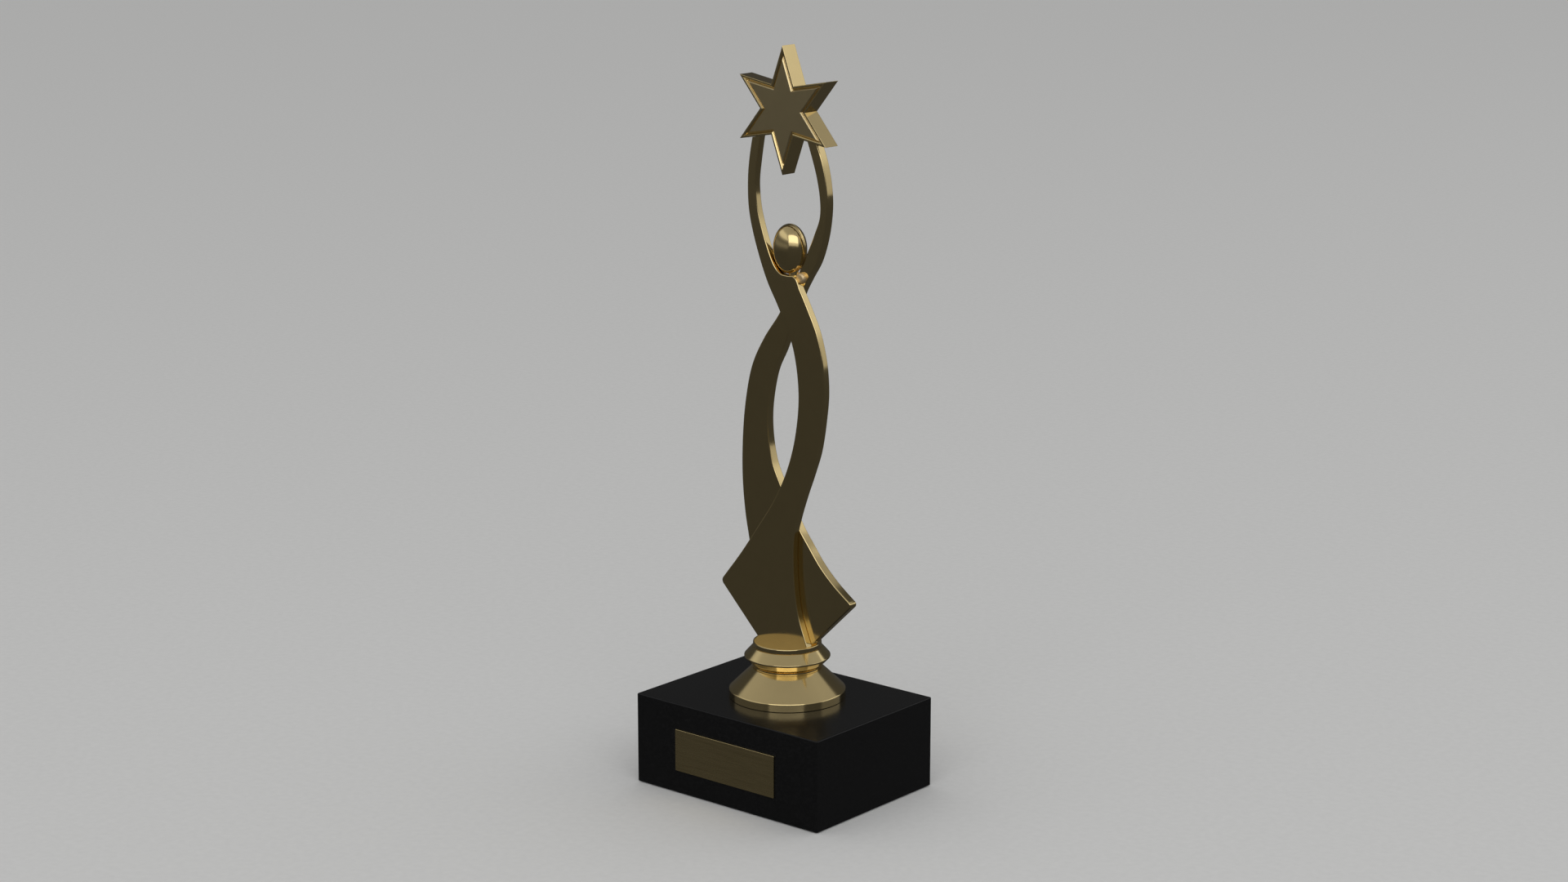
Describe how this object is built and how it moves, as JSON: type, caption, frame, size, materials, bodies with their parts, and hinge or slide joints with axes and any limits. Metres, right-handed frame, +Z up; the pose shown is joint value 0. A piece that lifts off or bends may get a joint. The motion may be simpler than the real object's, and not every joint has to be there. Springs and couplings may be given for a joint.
{
  "type": "star trophy",
  "caption": "Trophy: a flat ribbon figure with raised arms holds up a pointed star, on a turned riser and a rectangular black base with a blank nameplate.",
  "frame": {"origin": "centre of the underside of the felt pad, where the trophy stands", "axes": "+Z up; the nameplate side faces -Y; +X to the right as seen from the nameplate side"},
  "size_m": [0.1, 0.0776, 0.3175],
  "materials": {
    "base_black": "black satin lacquer",
    "gold": "satin gold plating on cast zinc",
    "plaque_gold": "brushed gold-tone brass sheet, blank",
    "steel": "zinc-plated fasteners",
    "felt": "dense wool felt",
    "adhesive": "double-sided foam tape"
  },
  "bodies": {
    "root": {"base_block": "base_black", "felt_pad": "felt", "nameplate": "plaque_gold", "nameplate_adhesive": "adhesive", "figure_disc": "gold", "front_ribbon": "gold", "head_front_shell": "gold", "head_rear_shell": "gold", "rear_ribbon": "gold", "riser_collar": "gold", "riser_foot": "gold", "riser_neck": "gold", "shoulder_rivet": "gold", "star_body": "gold", "star_inlay": "gold", "head_peg": "steel", "hex_nut": "steel", "left_star_pin": "steel", "right_star_pin": "steel", "lower_dowel": "steel", "upper_dowel": "steel", "spring_washer": "steel", "tie_rod": "steel", "washer": "steel"}
  },
  "joints": []
}
